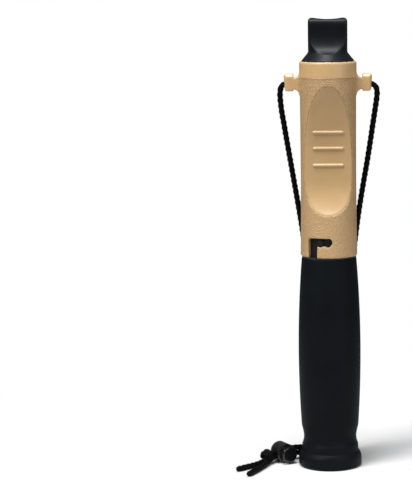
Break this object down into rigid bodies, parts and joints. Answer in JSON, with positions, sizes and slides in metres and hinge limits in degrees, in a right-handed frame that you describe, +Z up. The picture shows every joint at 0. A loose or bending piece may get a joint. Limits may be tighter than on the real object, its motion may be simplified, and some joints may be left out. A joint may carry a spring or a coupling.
{
  "type": "grunt tube call",
  "caption": "Handheld deer grunt tube: tan pressed-pad reed housing, black mouthpiece, twist-lock flared rubber barrel and a neck lanyard with a cord lock.",
  "frame": {"origin": "centre of the foot's underside, on the tube's axis, where the call stands", "axes": "+Z up along the tube to the mouthpiece, -Y out of the thumb pad, +X to the right as the pad is faced"},
  "size_m": [0.0835, 0.1187, 0.2562],
  "materials": {
    "tan_shell": "moulded tan plastic with a fine leather grain",
    "tan_pad": "smooth satin tan plastic",
    "mouth_rubber": "satin black rubber",
    "grip_rubber": "soft-touch black rubber",
    "seal_rubber": "plain black rubber",
    "barrel_plastic": "moulded black plastic",
    "insert_plastic": "natural white plastic",
    "reed_film": "thin translucent polyester film",
    "spring_steel": "bright spring steel",
    "cord": "braided black cord",
    "lock_plastic": "glossy black plastic"
  },
  "bodies": {
    "tube": {"housing": "tan_shell", "pad_seal": "seal_rubber", "tone_board": "insert_plastic", "insert_o_ring": "seal_rubber", "reed_wedge": "insert_plastic", "lanyard_left": "cord", "lanyard_right": "cord", "lanyard_left_end": "cord", "lanyard_right_end": "cord", "lanyard_hank": "cord", "hank_tie": "seal_rubber", "lanyard_knot": "cord", "cord_lock_body": "lock_plastic", "cord_lock_spring": "spring_steel"},
    "pad": {"finger_pad": "tan_pad"},
    "mouthpiece": {"mouthpiece": "mouth_rubber", "mouthpiece_o_ring": "seal_rubber"},
    "reed": {"reed": "reed_film"},
    "tuning_band": {"tuning_band": "seal_rubber"},
    "barrel": {"barrel_sleeve": "barrel_plastic", "barrel_grip": "grip_rubber", "barrel_o_ring": "seal_rubber", "detent_gasket": "seal_rubber", "bayonet_pin": "barrel_plastic"},
    "lock_button": {"cord_lock_button": "lock_plastic"}
  },
  "joints": [
    {"name": "pad_press", "type": "slide", "parent": "tube", "child": "pad", "axis": [0, 1, 0], "range_m": [0, 0.0018], "stiffness_N_per_m": 900, "deforming": ["pad_seal"]},
    {"name": "mouthpiece_pull", "type": "slide", "parent": "tube", "child": "mouthpiece", "axis": [0, 0, 1], "range_m": [0, 0.01]},
    {"name": "reed_flex", "type": "hinge", "parent": "tube", "child": "reed", "pos_m": [0, -0.00225, 0.144], "axis": [-1, 0, 0], "range_deg": [0, 1.2], "stiffness_Nm_per_rad": 0.05},
    {"name": "tuning_slide", "type": "slide", "parent": "tube", "child": "tuning_band", "axis": [0, 0, 1], "range_m": [0, 0.005]},
    {"name": "barrel_twist", "type": "hinge", "parent": "tube", "child": "barrel", "pos_m": [0, 0, 0.131], "axis": [0, 0, 1], "range_deg": [-17.4, 15.7]},
    {"name": "lock_press", "type": "slide", "parent": "tube", "child": "lock_button", "axis": [-0.5, 0.866, 0], "range_m": [0, 0.0021], "stiffness_N_per_m": 1800, "deforming": ["cord_lock_spring"]}
  ]
}
